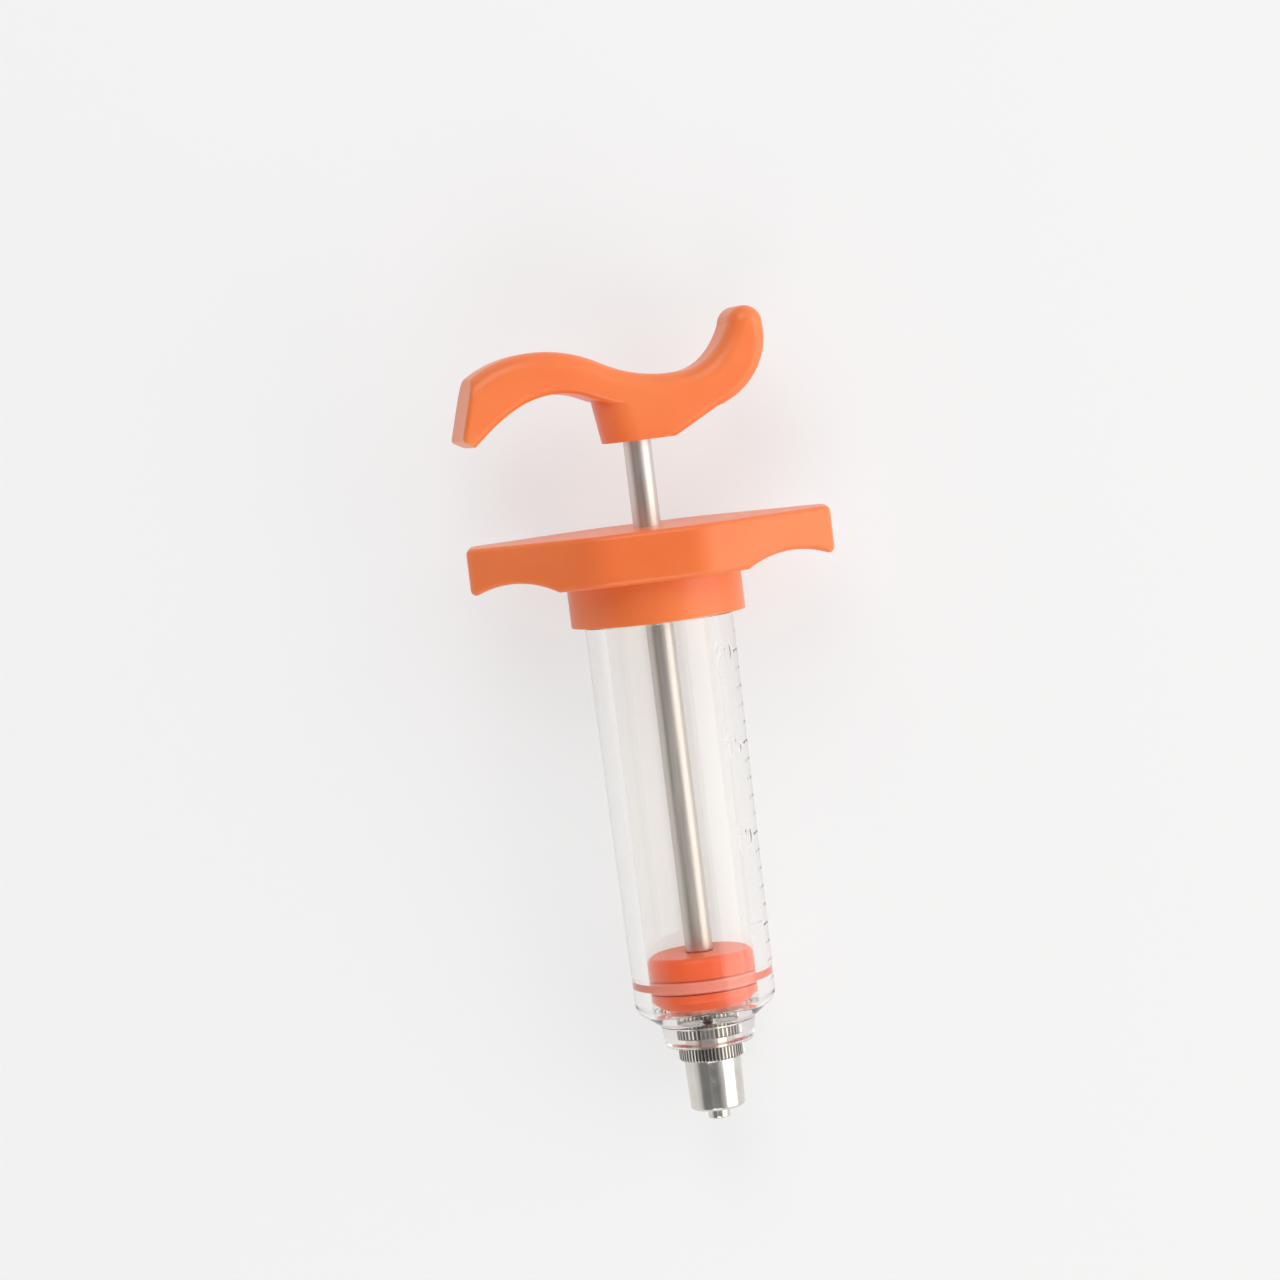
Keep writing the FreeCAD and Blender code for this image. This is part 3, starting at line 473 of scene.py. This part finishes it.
def make_barrel(clear):
    """Clear barrel. Where metal is moulded in, its inside stays a little within the metal."""
    inset = 0.4
    bore_lead = 0.6
    corners = [
        (RIM, BORE + bore_lead, 0.1),
        (RIM, THREAD, 0.3),
        (THREAD_FOOT, THREAD, 0),
        (THREAD_FOOT, BARREL_HEAD, 0.2),
        (SHOULDER_TOP, BARREL_FOOT, 2.0),
        (NECK_TOP, NECK_TOP_RADIUS, 0.4),
        (NECK_FOOT, NECK_FOOT_RADIUS, 0.8),
        (NECK_FOOT, SHANK - inset, 0),
        (HUB_FOOT + inset, SHANK - inset, 0),
        (HUB_FOOT + inset, HUB - inset, 0),
        (HUB_TOP - inset, HUB - inset, 0),
        (HUB_TOP - inset, CHANNEL, 0),
        (0, CHANNEL, 0.1),
        (0, BORE, 0.25),
        (RIM - bore_lead, BORE, 0.1),
    ]
    outline = soften(corners)
    runs = [one.x - two.x for one, two in zip(outline, outline[1:])]
    wall_start = next(index for index, run in enumerate(runs) if run > THREAD_FOOT / 2)
    rows = [Vector((station, wall_radius(station))) for station in scale_rows()]
    outline[wall_start + 1:wall_start + 1] = rows
    wall = {point.x for point in rows}

    def raised(station, radius, turn):
        if station not in wall or radius < BARREL_FOOT:
            return 0
        turn = math.degrees(turn)
        volume = SCALE_STEP_ML * math.ceil(station / MM_PER_ML / SCALE_STEP_ML)
        return -max(mark_relief(station, turn), numeral_relief(volume, station, turn))

    mesh = lathe("barrel_clear", outline, depth_at=raised, turns=scale_turns(), sharp=75.0)
    return add_piece("barrel_clear", mesh, clear, "barrel", ["barrel"])


# Metal fitting

HUB_TEETH = 36
HUB_TOOTH_DEPTH = 0.24
HUB_GROOVE = (-3.35, -4.05)
HUB_GROOVE_DEPTH = 0.45
RING_TEETH = 55
RING_TOOTH_DEPTH = 0.26
STEPS_PER_TOOTH = 8
KNURL_REACH = 0.2
LOCK_LEAD = 5.0
LOCK_STARTS = 2
LOCK_CREST = 3.5


def make_cone(nickel):
    """Hub with its two knurled bands, the shank, and the tapered cone with its channel."""
    root = TIP + (COLLAR_FLOOR - TIP_END) * TIP_TAPER / 2
    groove_top, groove_foot = HUB_GROOVE
    groove = HUB - HUB_GROOVE_DEPTH
    corners = [
        (HUB_TOP, CHANNEL, 0.15),
        (HUB_TOP, HUB, 0.15),
        (groove_top, HUB, 0.05),
        (groove_top, groove, 0.05),
        (groove_foot, groove, 0.05),
        (groove_foot, HUB, 0.05),
        (HUB_FOOT, HUB, 0.15),
        (HUB_FOOT, SHANK, 0.1),
        (COLLAR_FLOOR, SHANK, 0),
        (COLLAR_FLOOR, root, 0.1),
        (TIP_END, TIP, 0.3),
        (TIP_END, CHANNEL, 0.2),
    ]

    def cut(station, radius, turn):
        knurled = radius > HUB - KNURL_REACH and station > HUB_FOOT - KNURL_REACH / 2
        return HUB_TOOTH_DEPTH * tooth(turn, HUB_TEETH) if knurled else 0

    mesh = lathe("cone", soften(corners), steps=HUB_TEETH * STEPS_PER_TOOTH, depth_at=cut)
    return add_piece("cone", mesh, nickel, "barrel", ["luer_cone"])


def make_collar(nickel):
    """Lock collar: straight-knurled ring, tapered polished sleeve and its bevelled mouth."""
    bevel = 0.25
    under_bevel = 0.05
    mouth_bevel = 0.35
    corners = [
        (NECK_FOOT, SHANK, 0),
        (NECK_FOOT, KNURL - bevel, 0.03),
        (NECK_FOOT - bevel, KNURL, 0.03),
        (KNURL_FOOT + bevel, KNURL, 0.03),
        (KNURL_FOOT, KNURL - bevel, 0.03),
        (KNURL_FOOT, COLLAR_TOP_RADIUS, 0.12),
        (COLLAR_END + mouth_bevel, COLLAR_END_RADIUS, 0.25),
        (COLLAR_END, COLLAR_END_RADIUS - mouth_bevel, 0.1),
        (COLLAR_END, COLLAR_BORE + mouth_bevel, 0.08),
        (COLLAR_END + mouth_bevel, COLLAR_BORE, 0.08),
        (COLLAR_FLOOR, COLLAR_BORE, 0.2),
        (COLLAR_FLOOR, SHANK, 0),
    ]

    def cut(station, radius, turn):
        knurled = radius > KNURL - bevel - under_bevel
        return RING_TOOTH_DEPTH * tooth(turn, RING_TEETH) if knurled else 0

    mesh = lathe("collar", soften(corners), steps=RING_TEETH * STEPS_PER_TOOTH, depth_at=cut)
    return add_piece("collar", mesh, nickel, "barrel", ["lock_collar"])


def make_lock_thread(nickel):
    """Two ridges that wind round the inside of the collar."""
    steps_per_turn = 96
    half_root = 0.75
    half_crest = 0.3
    sink = 0.06
    fades_in_length = 8
    first = COLLAR_END + 1.1
    last = COLLAR_FLOOR - 0.9
    turns = (last - first) / LOCK_LEAD
    steps = int(turns * steps_per_turn)
    bm = bmesh.new()
    for start in range(LOCK_STARTS):
        rows = []
        for step in range(steps + 1):
            share = step / steps
            fade = min(1.0, share * fades_in_length, (1 - share) * fades_in_length)
            turn = FULL_TURN * (turns * share + start / LOCK_STARTS)
            middle = first + (last - first) * share
            crest = COLLAR_BORE - (COLLAR_BORE - LOCK_CREST) * fade
            root = COLLAR_BORE + sink
            profile = ((-half_root, root), (-half_crest, crest), (half_crest, crest),
                       (half_root, root))
            row = [(middle + x, r * math.sin(turn), -r * math.cos(turn)) for x, r in profile]
            rows.append([bm.verts.new(point) for point in row])
        count = len(rows[0])
        for one, two in zip(rows, rows[1:]):
            for index in range(count):
                after = (index + 1) % count
                bm.faces.new((one[index], two[index], two[after], one[after]))
        bm.faces.new(rows[0])
        bm.faces.new(list(reversed(rows[-1])))
    mesh = finish_mesh("lock_thread", bm, sharp=50.0)
    return add_piece("lock_thread", mesh, nickel, "barrel")


# Plunger

def make_piston(orange):
    """Piston: bevelled foot, groove for the ring, rounded head, and the hole that takes the rod."""
    bevel = 1.6
    hole_lead = 0.2
    step_depth = 0.3
    hole = ROD_END + 0.02
    corners = [
        (PISTON_FOOT, 0, 0),
        (PISTON_FOOT, PISTON - bevel, 0.5),
        (PISTON_FOOT + bevel, PISTON, 0.6),
        (RING_STATION - GROOVE_HALF, PISTON, 0.05),
        (RING_STATION - GROOVE_HALF, GROOVE_RADIUS, 0.1),
        (RING_STATION + GROOVE_HALF, GROOVE_RADIUS, 0.1),
        (RING_STATION + GROOVE_HALF, PISTON, 0.05),
        (PISTON_TOP, PISTON, 1.2),
        (PISTON_TOP, ROD + hole_lead, 0.1),
        (PISTON_TOP - step_depth, hole, 0),
        (ROD_END_STATION, hole, 0),
        (ROD_END_STATION, 0, 0),
    ]
    mesh = lathe("piston_body", soften(corners, closed=False), closed=False)
    return add_piece("piston_body", mesh, orange, "plunger", ["piston"])


def make_seal(silicone):
    """Silicone ring, squeezed: fatter than its solid, and flattened a little past the bore.

    It meets the wall, so that it shows through it as a wet band, and it sinks into the groove's floor.
    """
    section = 1.44
    flatness = 0.93
    press = 0.03
    middle = RING_RADIUS + press
    contact = BORE + press
    steps = 40
    outline = []
    for step in range(steps):
        angle = FULL_TURN * step / steps
        station = RING_STATION + section * math.cos(angle) * flatness
        outline.append((station, min(contact, middle + section * math.sin(angle))))
    mesh = lathe("seal", outline, steps=192)
    return add_piece("seal", mesh, silicone, "ring", ["piston_ring"])


def make_rod(steel):
    """Steel rod, with its thinner end in the piston."""
    corners = [
        (ROD_END_STATION, 0, 0),
        (ROD_END_STATION, ROD_END, 0.3),
        (PISTON_TOP, ROD_END, 0),
        (PISTON_TOP, ROD, 0.25),
        (ROD_TOP, ROD, 0.3),
        (ROD_TOP, 0, 0),
    ]
    mesh = lathe("rod", soften(corners, closed=False), steps=128, closed=False)
    return add_piece("rod", mesh, steel, "plunger", ["plunger_rod"])


# Studio

def make_floor():
    """Pale floor that fades to the white of the backdrop away from the syringe."""
    half = 6.0
    bm = bmesh.new()
    bmesh.ops.create_grid(bm, x_segments=1, y_segments=1, size=half)
    mesh = finish_mesh("floor", bm)
    paint = Paint("floor", (0.82, 0.82, 0.82), Roughness=0.9)
    paint.shader.inputs["Specular IOR Level"].default_value = 0.1
    away = paint.node("ShaderNodeVectorMath", operation="LENGTH")
    paint.link(paint.place, away.inputs[0])
    fade = paint.spread(away.outputs["Value"], 0.6, 1, 0.25, 0.8)
    ray = paint.node("ShaderNodeLightPath")
    seen = paint.node("ShaderNodeMath", operation="MAXIMUM")
    paint.link(ray.outputs["Is Camera Ray"], seen.inputs[0])
    passed = paint.node("ShaderNodeMath", operation="MAXIMUM")
    paint.link(ray.outputs["Is Glossy Ray"], passed.inputs[0])
    paint.link(ray.outputs["Is Transmission Ray"], passed.inputs[1])
    paint.link(passed.outputs[0], seen.inputs[1])
    share = paint.node("ShaderNodeMath", operation="MULTIPLY")
    paint.link(fade, share.inputs[0])
    paint.link(seen.outputs[0], share.inputs[1])
    white = paint.node("ShaderNodeEmission")
    mix = paint.node("ShaderNodeMixShader")
    paint.link(share.outputs[0], mix.inputs["Fac"])
    paint.link(paint.shader.outputs["BSDF"], mix.inputs[1])
    paint.link(white.outputs["Emission"], mix.inputs[2])
    paint.link(mix.outputs["Shader"], paint.tree.nodes["Material Output"].inputs["Surface"])
    mesh.materials.append(paint.material)
    floor = bpy.data.objects.new("floor", mesh)
    bpy.context.scene.collection.objects.link(floor)


# Surroundings, by the turn over the syringe in degrees, from its left over the top to its right
SURROUNDINGS = (
    (-180, 0.75),
    (-76, 0.75),
    (-60, 0.24),
    (12, 0.22),
    (26, 0.55),
    (42, 0.75),
    (180, 0.85),
)


def make_world():
    """Pale surroundings with a grey band that runs overhead along the syringe, for metal to show."""
    world = bpy.data.worlds.new("studio")
    bpy.context.scene.world = world
    world.use_nodes = True
    nodes = world.node_tree.nodes
    links = world.node_tree.links
    place = nodes.new("ShaderNodeTexCoord")
    split = nodes.new("ShaderNodeSeparateXYZ")
    links.new(place.outputs["Generated"], split.inputs["Vector"])
    turn = nodes.new("ShaderNodeMath")
    turn.operation = "ARCTAN2"
    links.new(split.outputs["Y"], turn.inputs[0])
    links.new(split.outputs["Z"], turn.inputs[1])
    ranged = nodes.new("ShaderNodeMapRange")
    for socket, number in zip(RANGE_SOCKETS, (-math.pi, math.pi, 0, 1)):
        ranged.inputs[socket].default_value = number
    links.new(turn.outputs["Value"], ranged.inputs["Value"])
    ramp = nodes.new("ShaderNodeValToRGB")
    stops = ramp.color_ramp.elements
    while len(stops) < len(SURROUNDINGS):
        stops.new(0.5)
    for stop, (degrees, level) in zip(stops, SURROUNDINGS):
        stop.position = (degrees + 180) / 360
        stop.color = (level, level, level * 1.01, 1)
    links.new(ranged.outputs["Result"], ramp.inputs["Fac"])
    links.new(ramp.outputs["Color"], nodes["Background"].inputs["Color"])


def add_lamp(name, place, length, width, energy, colour=(1, 1, 1)):
    """Soft lamp that looks at the syringe."""
    data = bpy.data.lights.new(name, "AREA")
    data.shape = "RECTANGLE"
    data.size = length
    data.size_y = width
    data.energy = energy
    data.color = colour
    lamp = bpy.data.objects.new(name, data)
    bpy.context.scene.collection.objects.link(lamp)
    lamp.location = place
    lamp.rotation_mode = "QUATERNION"
    lamp.rotation_quaternion = (-Vector(place)).to_track_quat("-Z", "Y")


def add_camera():
    """Camera of the photograph: straight above, with the syringe's tip down and to the right."""
    place = Vector((-15.0, -3.79, 689.0)) * MM
    up = Vector((-0.9925, 0.1224, 0))
    data = bpy.data.cameras.new("camera")
    data.lens = 105
    data.sensor_width = 36
    camera = bpy.data.objects.new("camera", data)
    bpy.context.scene.collection.objects.link(camera)
    back = Vector((0, 0, 1))
    side = up.cross(back)
    camera.matrix_world = Matrix.Translation(place) @ Matrix((side, up, back)).transposed().to_4x4()
    bpy.context.scene.camera = camera


# Scene

def repaint(node, material):
    """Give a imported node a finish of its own."""
    mesh = frame["nodes"][node].data
    mesh.materials.clear()
    mesh.materials.append(material)


def main():
    orange = paint_orange("orange_plastic", (0.94, 0.2, 0.05), (0.98, 0.245, 0.066))
    deep_orange = paint_orange("piston_plastic", (0.95, 0.11, 0.014), (0.98, 0.135, 0.02))
    clear = paint_clear()
    nickel = paint_nickel()
    steel = paint_steel()
    silicone = paint_silicone()
    make_barrel(clear)
    make_cone(nickel)
    make_collar(nickel)
    make_lock_thread(nickel)
    make_piston(deep_orange)
    make_seal(silicone)
    make_rod(steel)
    for node in ("cap", "handle"):
        repaint(node, orange)
    make_floor()
    make_world()
    add_lamp("key", (0.0, 0.75, 0.35), 1.2, 0.8, 4.0, (1.0, 0.97, 0.92))
    add_lamp("head", (0.8, -0.1, 0.8), 0.7, 0.7, 3.6)
    add_lamp("tail", (-0.8, -0.1, 0.8), 0.7, 0.7, 3.6)
    add_camera()
    bpy.context.scene.view_settings.view_transform = "Standard"


main()
